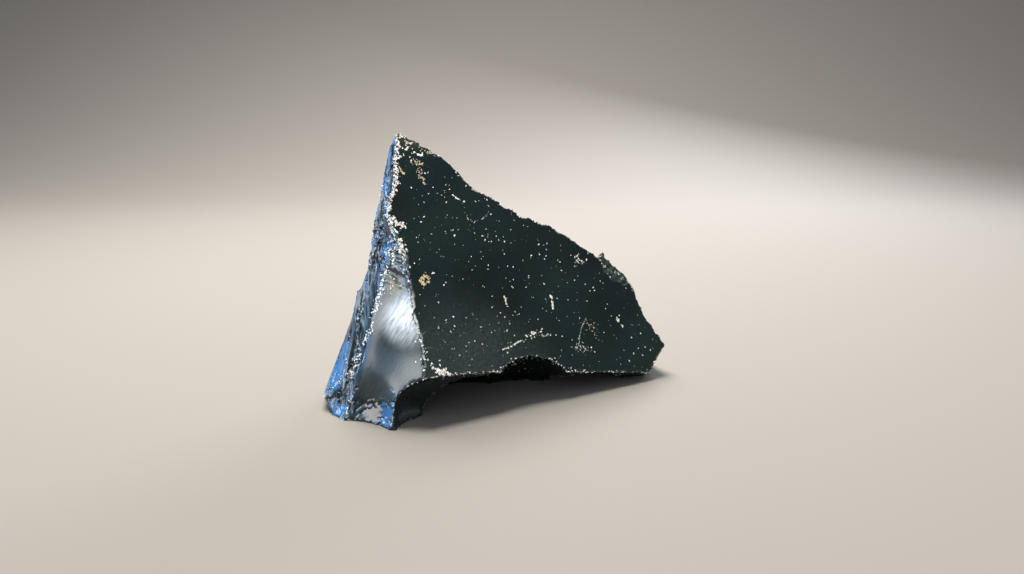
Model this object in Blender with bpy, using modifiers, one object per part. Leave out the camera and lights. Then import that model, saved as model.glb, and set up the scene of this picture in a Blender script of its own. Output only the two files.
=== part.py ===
"""An obsidian chunk: one piece of black volcanic glass, broken all over, lying on a broken face.

Run it with: blender --background --python part.py

A block is struck down to the chunk's broken faces, and is then scarred as glass breaks. A dish is a
shallow scar, part of a large ball, whose rings spread from where the blow fell, at its rim. A groove
is a long narrow one.

The tables are in millimetres and degrees, and the chunk is made in metres. +X is to the right of the
smooth dark face as one looks at the chunk, +Y is to its back and +Z is up. The surface that it lies on
is z = 0, and at the end the chunk is moved along it until the origin is under its middle.
"""

from math import asin, ceil, cos, pi, radians, sin, sqrt
from random import Random

import bmesh
import bpy
from mathutils import Matrix, Vector

MM = 0.001
WELD = 0.002 * MM
SOLVER = "MANIFOLD"  # many cuts follow one another here, and the exact one leaves slits in time
NAME = "obsidian_chunk"

# Broken faces, each (name, the way it faces from +X towards +Y, how far it looks up, its distance from
# the origin).
BLOCK_SIDE = 160.0
FACES = (
    ("dark face", -58.5, 22.0, 17.7),
    ("grey face", -119.6, 17.4, 42.4),
    ("rough strip", -145.0, 20.8, 51.3),
    ("strip foot", -133.8, 17.0, 47.2),
    ("left", 172.0, 10.0, 46.7),
    ("brow", -54.6, 35.6, 32.1),
    ("back", 72.6, 40.0, 39.35),
    ("back foot", 95.0, -8.0, 33.0),
    ("left corner", 132.0, 12.0, 45.0),
    ("right top", 64.3, 35.0, 39.9),
    ("right end", 49.7, 20.0, 42.8),
    ("right foot", -9.7, -35.0, 32.2),
)

# A flake still held at the foot of the rough strip stands out to the left.
FLAKE_SIDE = 40.0
FLAKE_MIDDLE = (-50.0, -15.0)
FLAKE_FACES = (
    ("flake front", -129.5, 27.1, 43.9),
    ("flake side", -172.0, 22.0, 52.4),
    ("flake foot", -165.0, -25.0, 49.2),
    ("flake back", 120.0, 5.0, 19.3),
    ("flake root", 0.0, 0.0, -44.0),
)

# A shoulder, where the dark face reaches further left over the top of the rough strip.
SHOULDER_SIDE = 90.0
SHOULDER_MIDDLE = (-30.0, -8.0)
SHOULDER_FACES = (
    ("shoulder front", -58.5, 22.0, 17.65),
    ("shoulder", -160.2, 16.3, 51.5),
    ("shoulder foot", -143.3, -11.8, 24.3),
    ("shoulder brow", -54.6, 35.6, 32.0),
    ("shoulder top", 72.6, 40.0, 39.2),
    ("shoulder left", 172.0, 10.0, 46.4),
    ("shoulder back", 60.0, -22.3, -39.5),
)

# A lip stands up behind the right end of the dark face's top edge.
LIP_SIDE = 60.0
LIP_MIDDLE = (31.0, 14.0)
LIP_FACES = (
    ("lip front", -58.5, 22.0, 17.6),
    ("lip back", 64.3, 35.0, 42.6),
    ("lip left", 165.0, 40.0, 7.2),
    ("lip right", 10.0, 29.8, 48.1),
    ("lip root", -115.7, -35.0, -36.0),
    ("lip inside", 121.5, -22.0, -13.5),
)

# Balls that hollow the underside, each (name, pole, the way from the pole to the middle and its rise,
# half length, half width, bluntness of the ends, ring spacing, ring height).
HOLLOWS = (
    ("under the dark face", (-29.4, -35.8, 5.7), 27.6, -9.9, 56.4, 11.3, 4.0, 6.0, 0.1),
    ("arch", (-1.7, -17.7, 12.0), 47.0, -65.0, 17.4, 17.4, 2.0, 5.0, 0.15),
    ("behind the arch", (-20.0, -28.0, -4.0), 65.0, -10.0, 17.0, 17.0, 2.0, 5.0, 0.2),
    ("right of the arch", (14.0, -14.0, -14.0), 60.0, 8.0, 17.0, 17.0, 2.0, 5.0, 0.2),
)

# Dishes, each (name, middle of the rim, the face it is in, or the way it looks and how far up, rim radius,
# depth, place of the blow on the rim as seen from outside, from its right anticlockwise, ring spacing,
# ring height).
DISHES = (
    ("grey scoop", (-26.3, -29.2, 19.3), "grey face", 13.0, 3.4, 110.0, 7.0, 0.06),
    ("top of the grey face", (-31.6, -21.6, 33.0), "grey face", 9.0, 1.3, 90.0, 4.0, 0.08),
    ("top", (-12.6, 14.2, 49.2), "back", 25.5, 4.6, 100.0, 6.0, 0.2),
    ("nick in the top", (-9.5, 2.0, 60.8), (-5.0, 60.0), 5.0, 1.2, 90.0, 3.0, 0.0),
    ("back", (12.0, 30.0, 22.0), "back", 20.0, 3.6, 20.0, 5.0, 0.2),
    ("back foot", (-14.0, 34.0, 9.0), "back foot", 17.0, 3.0, -90.0, 5.0, 0.2),
    ("right back foot", (22.0, 32.0, 8.0), "back foot", 13.0, 2.4, -20.0, 5.0, 0.15),
    ("left corner", (-36.0, 24.0, 22.0), "left corner", 19.0, 4.2, 190.0, 6.0, 0.2),
    ("left", (-45.0, 9.5, 18.0), "left", 14.0, 2.6, -80.0, 5.0, 0.2),
    ("right end", (44.0, 18.0, 16.0), "right end", 13.0, 2.2, -60.0, 4.5, 0.15),
    ("right chip", (32.8, 12.4, 33.4), (-42.0, 36.0), 8.0, 2.0, 110.0, 3.2, 0.15),
    ("foot chip", (-34.6, -31.0, 2.2), (-119.6, 20.0), 7.0, 3.2, -90.0, 2.6, 0.15),
    ("foot sliver", (-40.8, -28.0, 1.4), (-125.0, 20.0), 4.0, 1.6, -90.0, 2.6, 0.1),
    ("pale pit", (-23.5, -18.9, 37.8), "dark face", 1.6, 0.7, 60.0, 2.0, 0.0),
)

# Grooves by the corner of two faces, each (name, the two faces, heights of its ends, half width, how far
# it lies off the corner and which way).
CORNER_GROOVES = (
    ("by the grey face", "strip foot", "grey face", 42.0, 12.0, 2.8, 1.6, 150.0),
)

# Faces fluted down their length, each (name, the faces at its left, the faces at its right, number of
# flutes, how much of its width is fluted, from the right, heights of their upper ends). The flutes lie in
# lanes.
FLUTED_FACES = (
    ("rough strip", ("left",), ("dark face", "strip foot"), 16, 1.0, 70.0, 44.0),
    ("strip foot", ("left", "rough strip"), ("grey face",), 14, 1.0, 56.0, 28.0),
    ("left", ("left corner", "back"), ("rough strip",), 12, 0.55, 68.0, 30.0),
)
FLUTED_SHOULDER = ("shoulder", ("left",), ("shoulder front",), 6, 1.0, 70.0, 56.0)
LANES = 4
IN_LANE = (0.2, 0.8)  # where across its lane a flute starts
DRIFT = 0.1  # of the face's width, from a flute's upper end to its lower one
TOP_SPREAD = 3.0  # above or below its even height
FLUTE_WIDTH = (2.4, 4.8)
FLUTE_DEPTH = (0.7, 1.6)
FLUTE_LENGTH = (10.0, 22.0)
FLUTE_SEED = 3

# Corners that have crumbled, each (the two faces, heights of its ends, number of chips).
CRUMBLED_CORNERS = (
    ("shoulder", "shoulder front", 73.0, 55.0, 8),
    ("shoulder foot", "shoulder front", 55.0, 46.0, 8),
    ("grey face", "dark face", 46.0, 41.0, 4),
    ("strip foot", "grey face", 44.0, 8.0, 16),
)

# Chips come off the sharp edges too, wherever they are. Small ones are the commonest.
CHIPS = 70
CHIP_SIZE = (0.8, 2.6)
CHIP_SPREAD = 1.5  # the power that makes small chips common
CHIP_WIDTH = (0.7, 1.0)  # of its size
CHIP_LENGTH = (1.0, 1.8)
CHIP_OFF = (0.2, 0.6)  # how far off the edge a chip's middle is, of its size
SHARP = 35.0  # degrees from flat
CRUMB_SEED = 8
CHIP_SEED = 7

RING_STEP = 1.9  # between the rows of points across a scar's rings
PAST_RIM = 1.15  # how far a dish's rings go, of the way across it
MOST_RINGED = 0.9  # of the way round a ball
FACET = 6.5  # along a ring, at the far rim of a scar
FEWEST_ROWS = 4
COARSE_ROWS = 6  # on the part of a ball that cuts nothing
FEWEST_SIDES, MOST_SIDES = 12, 96

GLASS_COLOUR = (0.010, 0.014, 0.014, 1.0)
GLASS_ROUGHNESS = 0.12


def direction(facing, lean):
    """A unit vector facing this way, from +X towards +Y, and looking up by the lean."""
    around, up = radians(facing), radians(lean)
    return Vector((cos(around) * cos(up), sin(around) * cos(up), sin(up)))


def face_plane(name):
    """The way that a named face looks, and its distance from the origin."""
    for face, facing, lean, reach in FACES + SHOULDER_FACES:
        if face == name:
            return direction(facing, lean), reach


def corner(one, other, height):
    """The point at this height where two of the broken faces meet."""
    (a, reach_a), (b, reach_b) = face_plane(one), face_plane(other)
    rest_a, rest_b = reach_a - a.z * height, reach_b - b.z * height
    across = a.x * b.y - a.y * b.x
    return Vector(((rest_a * b.y - rest_b * a.y) / across, (a.x * rest_b - b.x * rest_a) / across, height))


def clear_scene():
    for thing in list(bpy.data.objects):
        bpy.data.objects.remove(thing)


def collection(name):
    group = bpy.data.collections.new(name)
    bpy.context.scene.collection.children.link(group)
    return group


def object_from(mesh_in_mm, name):
    """An object of a mesh that is built in millimetres."""
    bmesh.ops.scale(mesh_in_mm, verts=mesh_in_mm.verts, vec=(MM, MM, MM))
    mesh = bpy.data.meshes.new(name)
    mesh_in_mm.to_mesh(mesh)
    mesh_in_mm.free()
    return bpy.data.objects.new(name, mesh)


def strike_block(name, faces, side, middle):
    """A cube standing on z = 0, cut back to each of the faces."""
    block = bmesh.new()
    bmesh.ops.create_cube(block, size=side)
    bmesh.ops.translate(block, verts=block.verts, vec=(middle[0], middle[1], side / 2))
    for _, facing, lean, reach in faces:
        away = direction(facing, lean)
        everything = block.verts[:] + block.edges[:] + block.faces[:]
        struck = bmesh.ops.bisect_plane(
            block, geom=everything, plane_co=away * reach, plane_no=away, clear_outer=True
        )
        rim = [item for item in struck["geom_cut"] if isinstance(item, bmesh.types.BMEdge)]
        bmesh.ops.edgenet_fill(block, edges=rim)
    bmesh.ops.recalc_face_normals(block, faces=block.faces)
    return object_from(block, name)


def ball_profile(half_length, half_width, blunt, reach, spacing, height):
    """Points from one pole of a ball to the other, fine and rippled as far as its scar reaches."""
    longest = max(half_length, half_width)
    fine_rows = max(ceil(reach / RING_STEP), FEWEST_ROWS)
    last_fine = min(reach / longest, MOST_RINGED * pi)
    angles = [last_fine * row / fine_rows for row in range(fine_rows)]
    angles += [last_fine + (pi - last_fine) * row / COARSE_ROWS for row in range(COARSE_ROWS + 1)]
    points = []
    for angle in angles:
        travelled = angle * longest
        grown = min(travelled / spacing, 1.0) if angle <= last_fine else 0.0
        swell = height * grown * cos(2 * pi * travelled / spacing)
        across = (half_width + swell) * max(sin(angle), 0.0) ** (2 / blunt)
        along = abs(cos(angle)) ** (2 / blunt) * (1 if angle < pi / 2 else -1)
        points.append((across, half_length - (half_length + swell) * along))
    points[0] = (0.0, points[0][1])
    points[-1] = (0.0, points[-1][1])
    return points


def ball(name, pole, towards, half_length, half_width, blunt=2.0, reach=None, spacing=5.0, height=0.0):
    """A ball to cut with, turned about the line from its pole, where the blow fell, through its middle."""
    longest = max(half_length, half_width)
    reach = reach or pi / 2 * longest
    points = ball_profile(half_length, half_width, blunt, reach, spacing, height)
    points.reverse()
    profile = bpy.data.meshes.new(name)
    places = [(across * MM, 0.0, along * MM) for across, along in points]
    profile.from_pydata(places, [(i, i + 1) for i in range(len(places) - 1)], [])
    cutter = bpy.data.objects.new(name, profile)
    widest = half_width * sin(min(reach / longest, pi / 2))
    turn = cutter.modifiers.new("Turn", "SCREW")
    turn.steps = min(max(round(2 * pi * widest / FACET), FEWEST_SIDES), MOST_SIDES)
    turn.render_steps = turn.steps
    turn.use_merge_vertices = True
    turn.merge_threshold = 0.01 * MM
    cutter.location = Vector(pole) * MM
    cutter.rotation_mode = "QUATERNION"
    cutter.rotation_quaternion = towards.to_track_quat("Z", "Y")
    return cutter


def hollow(name, pole, facing, rise, half_length, half_width, blunt, spacing, height):
    towards = direction(facing, rise)
    return ball(name, pole, towards, half_length, half_width, blunt, spacing=spacing, height=height)


def dish(name, middle, face, radius, depth, blow, spacing, height):
    """A ball that cuts a dish of this rim radius and depth."""
    middle = Vector(middle)
    if isinstance(face, str):
        away, reach = face_plane(face)
        middle += away * (reach - middle.dot(away))
    else:
        away = direction(*face)
    up = (Vector((0, 0, 1)) - away * away.z).normalized()
    right = up.cross(away)
    rim = right * cos(radians(blow)) + up * sin(radians(blow))
    ball_radius = (radius**2 + depth**2) / (2 * depth)
    centre = middle + away * (ball_radius - depth)
    pole = middle + rim * radius
    reach = 2 * asin(radius / ball_radius) * ball_radius * PAST_RIM
    towards = (centre - pole).normalized()
    return ball(name, pole, towards, ball_radius, ball_radius, reach=reach, spacing=spacing, height=height)


def groove(name, start, end, away, width, depth):
    """A long ball that cuts a groove of this width and depth from start to end into a face."""
    half_width = (width**2 / 4 + depth**2) / (2 * depth)
    run = end - start
    half_length = run.length / 2 / sqrt(1 - ((half_width - depth) / half_width) ** 2)
    centre = (start + end) / 2 + away * (half_width - depth)
    towards = run.normalized()
    return ball(name, centre - towards * half_length, towards, half_length, half_width)


def corner_groove(name, one, other, top, bottom, half_width, off, facing):
    start, end = (corner(one, other, height) + direction(facing, 0) * off for height in (top, bottom))
    return ball(name, start, (end - start).normalized(), (end - start).length / 2, half_width)


def face_place(face, lefts, rights, height, lane):
    """A place on a face at this height, its lane going from 0 at the face's right side to 1 at its left."""
    first = corner(face, rights[0], height)
    left = min((corner(face, side, height) for side in lefts), key=lambda place: (place - first).length)
    right = min((corner(face, side, height) for side in rights), key=lambda place: (place - left).length)
    return right.lerp(left, lane)


def flutes(face, lefts, rights, count, fluted, highest, lowest):
    """Grooves down a face, in lanes from its right side."""
    chance = Random(FLUTE_SEED)
    away, _ = face_plane(face)
    for number in range(count):
        lane = (number % LANES + chance.uniform(*IN_LANE)) / LANES * fluted
        top = highest - (highest - lowest) * number / count + chance.uniform(-TOP_SPREAD, TOP_SPREAD)
        bottom = top - chance.uniform(*FLUTE_LENGTH)
        start = face_place(face, lefts, rights, top, lane)
        end = face_place(face, lefts, rights, bottom, lane + chance.uniform(-DRIFT, DRIFT))
        width, depth = chance.uniform(*FLUTE_WIDTH), chance.uniform(*FLUTE_DEPTH)
        yield groove(f"{face} flute {number}", start, end, away, width, depth)


def sharp_edges(piece):
    """The sharp edges of a piece as it now stands, each (middle, the way it looks, length)."""
    bpy.context.view_layer.update()
    mesh = bmesh.new()
    mesh.from_object(piece, bpy.context.evaluated_depsgraph_get())
    bmesh.ops.scale(mesh, verts=mesh.verts, vec=(1 / MM, 1 / MM, 1 / MM))
    found = []
    for edge in mesh.edges:
        if len(edge.link_faces) == 2 and edge.calc_face_angle_signed() > radians(SHARP):
            middle = (edge.verts[0].co + edge.verts[1].co) / 2
            looks = (edge.link_faces[0].normal + edge.link_faces[1].normal).normalized()
            found.append((tuple(round(value, 2) for value in middle), looks, edge.calc_length()))
    mesh.free()
    return sorted(found, key=lambda place: place[0])


def chip(name, at, looks, chance):
    """A small uneven lump that bites into an edge."""
    smallest, largest = CHIP_SIZE
    size = smallest + (largest - smallest) * chance.random() ** CHIP_SPREAD
    lump = bmesh.new()
    bmesh.ops.create_icosphere(lump, subdivisions=1, radius=size)
    stretch = (1.0, chance.uniform(*CHIP_WIDTH), chance.uniform(*CHIP_LENGTH))
    bmesh.ops.scale(lump, verts=lump.verts, vec=stretch)
    for axis in "XZ":
        turn = Matrix.Rotation(chance.uniform(0, 2 * pi), 3, axis)
        bmesh.ops.rotate(lump, verts=lump.verts, matrix=turn)
    bmesh.ops.translate(lump, verts=lump.verts, vec=at + looks * size * chance.uniform(*CHIP_OFF))
    return object_from(lump, name)


def crumbled_corners():
    chance = Random(CRUMB_SEED)
    for one, other, top, bottom, count in CRUMBLED_CORNERS:
        looks = (face_plane(one)[0] + face_plane(other)[0]).normalized()
        for number in range(count):
            at = corner(one, other, chance.uniform(top, bottom))
            yield chip(f"{one} crumb {number}", at, looks, chance)


def edge_chips(piece):
    chance = Random(CHIP_SEED)
    edges = sharp_edges(piece)
    places = chance.choices(edges, weights=[length for _, _, length in edges], k=CHIPS)
    for number, (middle, looks, _) in enumerate(places):
        yield chip(f"chip {number}", Vector(middle), looks, chance)


def work(piece, operation, group, tool):
    """Cuts a tool out of the piece, or joins it on."""
    group.objects.link(tool)
    tool.hide_render = True
    tool.display_type = "WIRE"
    step = piece.modifiers.new(tool.name, "BOOLEAN")
    step.operation = operation
    step.solver = SOLVER
    step.object = tool


def chip_off(piece, group, lumps):
    """Cuts a whole collection of small lumps out of the piece at once."""
    for lump in lumps:
        group.objects.link(lump)
        lump.hide_render = True
        lump.display_type = "WIRE"
    step = piece.modifiers.new(group.name, "BOOLEAN")
    step.operation = "DIFFERENCE"
    step.solver = SOLVER
    step.operand_type = "COLLECTION"
    step.collection = group


def weld(piece, name):
    """Joins the points that a cut has left in one place."""
    step = piece.modifiers.new(name, "WELD")
    step.merge_threshold = WELD


def glass():
    """Black volcanic glass, glossy where it broke clean."""
    material = bpy.data.materials.new("obsidian")
    material.use_nodes = True
    shader = material.node_tree.nodes["Principled BSDF"]
    shader.inputs["Base Color"].default_value = GLASS_COLOUR
    shader.inputs["Roughness"].default_value = GLASS_ROUGHNESS
    shader.inputs["Metallic"].default_value = 0.0
    return material


def centre_on_origin(piece):
    """Moves everything along the ground until the origin is under the middle of the piece."""
    bpy.context.view_layer.update()
    shape = piece.evaluated_get(bpy.context.evaluated_depsgraph_get())
    corners = [Vector(place) for place in shape.bound_box]
    middle = (corners[0] + corners[6]) / 2
    holder = bpy.data.objects.new("chunk and its cutters", None)
    bpy.context.scene.collection.objects.link(holder)
    for thing in bpy.data.objects:
        if thing != holder:
            thing.parent = holder
    holder.location = (-middle.x, -middle.y, 0.0)


def main():
    clear_scene()
    parts, cutters, chip_lumps = collection("obsidian chunk"), collection("cutters"), collection("chips")
    chunk = strike_block(NAME, FACES, BLOCK_SIDE, (0.0, 0.0))
    chunk.data.materials.append(glass())
    parts.objects.link(chunk)
    for values in HOLLOWS:
        work(chunk, "DIFFERENCE", cutters, hollow(*values))
    work(chunk, "UNION", cutters, strike_block("lip", LIP_FACES, LIP_SIDE, LIP_MIDDLE))
    for values in DISHES:
        work(chunk, "DIFFERENCE", cutters, dish(*values))
    weld(chunk, "weld dishes")
    for values in CORNER_GROOVES:
        work(chunk, "DIFFERENCE", cutters, corner_groove(*values))
    for values in FLUTED_FACES:
        for flute in flutes(*values):
            work(chunk, "DIFFERENCE", cutters, flute)
    work(chunk, "UNION", cutters, strike_block("flake", FLAKE_FACES, FLAKE_SIDE, FLAKE_MIDDLE))
    work(chunk, "UNION", cutters, strike_block("shoulder", SHOULDER_FACES, SHOULDER_SIDE, SHOULDER_MIDDLE))
    for flute in flutes(*FLUTED_SHOULDER):
        work(chunk, "DIFFERENCE", cutters, flute)
    weld(chunk, "weld flutes")
    chip_off(chunk, chip_lumps, list(crumbled_corners()) + list(edge_chips(chunk)))
    weld(chunk, "weld chips")
    centre_on_origin(chunk)


main()
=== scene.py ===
"""The look of an obsidian chunk: black volcanic glass, with a smooth dark face, a scooped grey one and a
rough side, lying on a plain pale floor.

The chunk is worked here as it is in its solid, from the same faces and scars, only finer: it is cut out
of a block, its skin is made even, and its rough side and worn edges are then broken up. The tables are
in millimetres and degrees, with +X to the right of the dark face, +Y to its back and +Z up.
"""

from math import asin, cos, pi, radians, sin, sqrt
from random import Random

import bpy
import numpy as np
from mathutils import Matrix, Vector, noise
from mathutils.bvhtree import BVHTree


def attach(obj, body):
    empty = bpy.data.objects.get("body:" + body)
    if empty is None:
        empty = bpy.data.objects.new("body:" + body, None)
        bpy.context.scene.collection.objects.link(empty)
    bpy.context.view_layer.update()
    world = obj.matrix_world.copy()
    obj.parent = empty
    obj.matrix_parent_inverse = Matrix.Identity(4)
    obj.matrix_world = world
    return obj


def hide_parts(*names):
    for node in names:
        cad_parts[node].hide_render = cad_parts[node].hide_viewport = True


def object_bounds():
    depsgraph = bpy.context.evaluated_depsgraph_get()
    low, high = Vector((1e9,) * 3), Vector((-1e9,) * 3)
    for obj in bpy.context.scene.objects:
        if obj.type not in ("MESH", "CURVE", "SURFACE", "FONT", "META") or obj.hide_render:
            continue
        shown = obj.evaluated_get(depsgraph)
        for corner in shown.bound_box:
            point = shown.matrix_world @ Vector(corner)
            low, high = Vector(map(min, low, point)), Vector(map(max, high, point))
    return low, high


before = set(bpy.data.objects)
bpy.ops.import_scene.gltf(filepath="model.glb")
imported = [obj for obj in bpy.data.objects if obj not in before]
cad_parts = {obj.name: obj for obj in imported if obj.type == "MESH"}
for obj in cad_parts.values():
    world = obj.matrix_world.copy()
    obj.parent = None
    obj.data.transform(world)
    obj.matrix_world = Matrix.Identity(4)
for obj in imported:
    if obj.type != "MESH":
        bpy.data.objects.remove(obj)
cad_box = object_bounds()

MM = 0.001
NODE = "obsidian_chunk"
MIDDLE = (-2.9454, 1.9761)  # of the chunk's box, which stands over the origin in the end

# Broken faces, each (name, the way it faces from +X towards +Y, how far it looks up, its distance from
# the origin).
BLOCK_SIDE = 160.0
FACES = (
    ("dark face", -58.5, 22.0, 17.7),
    ("grey face", -119.6, 17.4, 42.4),
    ("rough strip", -145.0, 20.8, 51.3),
    ("strip foot", -133.8, 17.0, 47.2),
    ("left", 172.0, 10.0, 46.7),
    ("brow", -54.6, 35.6, 32.1),
    ("back", 72.6, 40.0, 39.35),
    ("back foot", 95.0, -8.0, 33.0),
    ("left corner", 132.0, 12.0, 45.0),
    ("right top", 64.3, 35.0, 39.9),
    ("right end", 49.7, 20.0, 42.8),
    ("right foot", -9.7, -35.0, 32.2),
)

# The flake held at the foot of the rough strip.
FLAKE_SIDE = 40.0
FLAKE_MIDDLE = (-50.0, -15.0)
FLAKE_FACES = (
    ("flake front", -129.5, 27.1, 43.9),
    ("flake side", -172.0, 22.0, 52.4),
    ("flake foot", -165.0, -25.0, 49.2),
    ("flake back", 120.0, 5.0, 19.3),
    ("flake root", 0.0, 0.0, -44.0),
)

# A shoulder, where the dark face reaches further left over the top of the rough strip.
SHOULDER_SIDE = 90.0
SHOULDER_BOTTOM = 42.0
SHOULDER_MIDDLE = (-30.0, -8.0)
SHOULDER_FACES = (
    ("shoulder front", -58.5, 22.0, 17.65),
    ("shoulder", -160.2, 16.3, 51.5),
    ("shoulder foot", -143.3, -11.8, 24.3),
    ("shoulder brow", -54.6, 35.6, 32.0),
    ("shoulder top", 72.6, 40.0, 39.2),
    ("shoulder left", 172.0, 10.0, 46.4),
    ("shoulder back", 60.0, -22.3, -39.5),
)

# A lip stands up behind the right end of the dark face's top edge.
LIP_SIDE = 60.0
LIP_MIDDLE = (31.0, 14.0)
LIP_FACES = (
    ("lip front", -58.5, 22.0, 17.6),
    ("lip back", 64.3, 35.0, 42.6),
    ("lip left", 165.0, 40.0, 7.2),
    ("lip right", 10.0, 29.8, 48.1),
    ("lip root", -115.7, -35.0, -36.0),
    ("lip inside", 121.5, -22.0, -13.5),
)

# Balls that hollow the underside, each (name, pole, the way from the pole to the middle and its rise,
# half length, half width, bluntness of the ends, ring spacing, ring height).
HOLLOWS = (
    ("under the dark face", (-29.4, -35.8, 5.7), 27.6, -9.9, 56.4, 11.3, 4.0, 6.0, 0.02),
    ("arch", (-1.7, -17.7, 12.0), 47.0, -65.0, 17.4, 17.4, 2.0, 5.0, 0.06),
    ("behind the arch", (-20.0, -28.0, -4.0), 65.0, -10.0, 17.0, 17.0, 2.0, 5.0, 0.2),
    ("right of the arch", (14.0, -14.0, -14.0), 60.0, 8.0, 17.0, 17.0, 2.0, 5.0, 0.2),
)

# Dishes, each (name, middle of the rim, the face it is in, or the way it looks and how far up, rim radius,
# depth, place of the blow on the rim as seen from outside, from its right anticlockwise, ring spacing,
# ring height).
DISHES = (
    ("grey scoop", (-26.3, -29.2, 19.3), "grey face", 13.0, 2.7, 110.0, 7.0, 0.04),
    ("top of the grey face", (-31.6, -21.6, 33.0), "grey face", 9.0, 1.3, 90.0, 4.0, 0.08),
    ("top", (-12.6, 14.2, 49.2), "back", 25.5, 4.6, 100.0, 6.0, 0.2),
    ("nick in the top", (-9.5, 2.0, 60.8), (-5.0, 60.0), 5.0, 1.2, 90.0, 3.0, 0.0),
    ("back", (12.0, 30.0, 22.0), "back", 20.0, 3.6, 20.0, 5.0, 0.2),
    ("back foot", (-14.0, 34.0, 9.0), "back foot", 17.0, 3.0, -90.0, 5.0, 0.2),
    ("right back foot", (22.0, 32.0, 8.0), "back foot", 13.0, 2.4, -20.0, 5.0, 0.15),
    ("left corner", (-36.0, 24.0, 22.0), "left corner", 19.0, 4.2, 190.0, 6.0, 0.2),
    ("left", (-45.0, 9.5, 18.0), "left", 14.0, 2.6, -80.0, 5.0, 0.2),
    ("right end", (44.0, 18.0, 16.0), "right end", 13.0, 2.2, -60.0, 4.5, 0.15),
    ("right chip", (32.8, 12.4, 33.4), (-42.0, 36.0), 8.0, 2.0, 110.0, 3.2, 0.15),
    ("foot chip", (-34.5, -30.5, 2.4), (-133.0, 28.0), 6.6, 1.2, -90.0, 1.6, 0.1),
    ("foot sliver", (-40.8, -28.0, 1.4), (-129.0, 26.0), 4.0, 1.1, -90.0, 1.2, 0.08),
    ("pale pit", (-23.5, -18.9, 37.8), "dark face", 1.6, 0.7, 60.0, 2.0, 0.0),
)

# Slight scars that only the finish has, in the same way.
SLIGHT_DISHES = (
    ("over the arch", (3.7, -13.8, 13.3), "dark face", 9.5, 0.5, -60.0, 5.0, 0.02),
    ("flake step", (-54.6, -11.1, 11.7), (-129.5, 27.1), 9.7, 1.1, 150.0, 3.0, 0.09),
    ("flake ripple", (-48.6, -21.8, 3.2), (-129.5, 27.1), 4.6, 0.8, -40.0, 1.8, 0.08),
    ("flake nick", (-52.6, -18.6, 2.6), (-150.0, 5.0), 2.0, 0.7, 90.0, 1.5, 0.0),
    ("flake toe", (-49.5, -24.0, 0.6), (-125.0, -10.0), 2.4, 0.8, 90.0, 1.5, 0.0),
)

# Grooves by the corner of two faces, each (name, the two faces, heights of its ends, half width, how far
# it lies off the corner and which way).
CORNER_GROOVES = (
    ("by the grey face", "strip foot", "grey face", 42.0, 12.0, 2.8, 1.6, 150.0),
)

# Faces fluted down their length, each (name, the faces at its left, the faces at its right, number of
# flutes, how much of its width is fluted, from the right, heights of their upper ends).
FLUTED_FACES = (
    ("rough strip", ("left",), ("dark face", "strip foot"), 16, 1.0, 70.0, 44.0),
    ("strip foot", ("left", "rough strip"), ("grey face",), 14, 1.0, 56.0, 28.0),
    ("left", ("left corner", "back"), ("rough strip",), 12, 0.55, 68.0, 30.0),
)
FLUTED_SHOULDER = ("shoulder", ("left",), ("shoulder front",), 6, 1.0, 70.0, 56.0)
LANES = 4
IN_LANE = (0.2, 0.8)
DRIFT = 0.1
TOP_SPREAD = 3.0
FLUTE_WIDTH = (2.4, 4.8)
FLUTE_DEPTH = (0.7, 1.6)
FLUTE_LENGTH = (10.0, 22.0)
FLUTE_SEED = 3

FINE_STEP = 0.7  # between the points of a cutter, along and across its rings
FEWEST_SIDES, FEWEST_ROWS, COARSE_ROWS = 20, 8, 12
JOIN = 1e-6  # metres
RINGED = 1.15  # how far a dish's rings go, of the way across it
MOST_RINGED = 0.9
SKIN = 0.32  # between the points of the evened skin
MOST_TRIANGLES = 180000

# Splinters of the rough side, each (length down the strip, width, depth). They lie inside the solid's faces.
ROUGH_FACES = ("rough strip", "strip foot")
SPLINTERS = ((26.0, 2.6, 1.0), (14.0, 1.3, 0.7), (7.0, 0.8, 0.3))
SPLINTER_SHIFT = 7.3  # between the patterns of one set and the next
PEAK = 2.2  # brings the noise's usual peak to 1
ROUGH_EDGE = 1.2  # how softly the rough side ends
STRIP_HEIGHTS = (60.0, 20.0)  # where its run is taken from
CREST = 0.3  # how far down a splinter's side its crushed crest reaches
LEFT_ROUGH = 0.35  # of the rough side's depth, on the left face
LEFT_FADE = 3.0  # how far in from the left face the splinters reach their full depth
FLAKE_ROUGH = 0.2  # of the rough side's fibres, on the flake
OUTSIDE = -0.1  # the depth below which a point isn't on the block's own faces

# Edges that have worn: the bends tighter than this, how far the wear spreads, and its bites.
TIGHT = 0.03
WEAR_SPREAD = 3
LEAST_WORN = 0.05
BITES = ((2.4, 0.5), (0.9, 0.3))  # each (size, depth)
BITE_SHIFT, BITE_LEVEL, BITE_GAIN = 9.1, 0.15, 2.0
CLEAN_SCARS = ("foot chip", "foot sliver", "flake step", "flake ripple")
CLEAN = 0.9  # how much less worn they are

# The dark face isn't quite flat.
WAVE = (24.0, 0.10)  # length, depth
WAVE_LEVEL = 0.5
DARK_EDGE = 1.5

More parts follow.
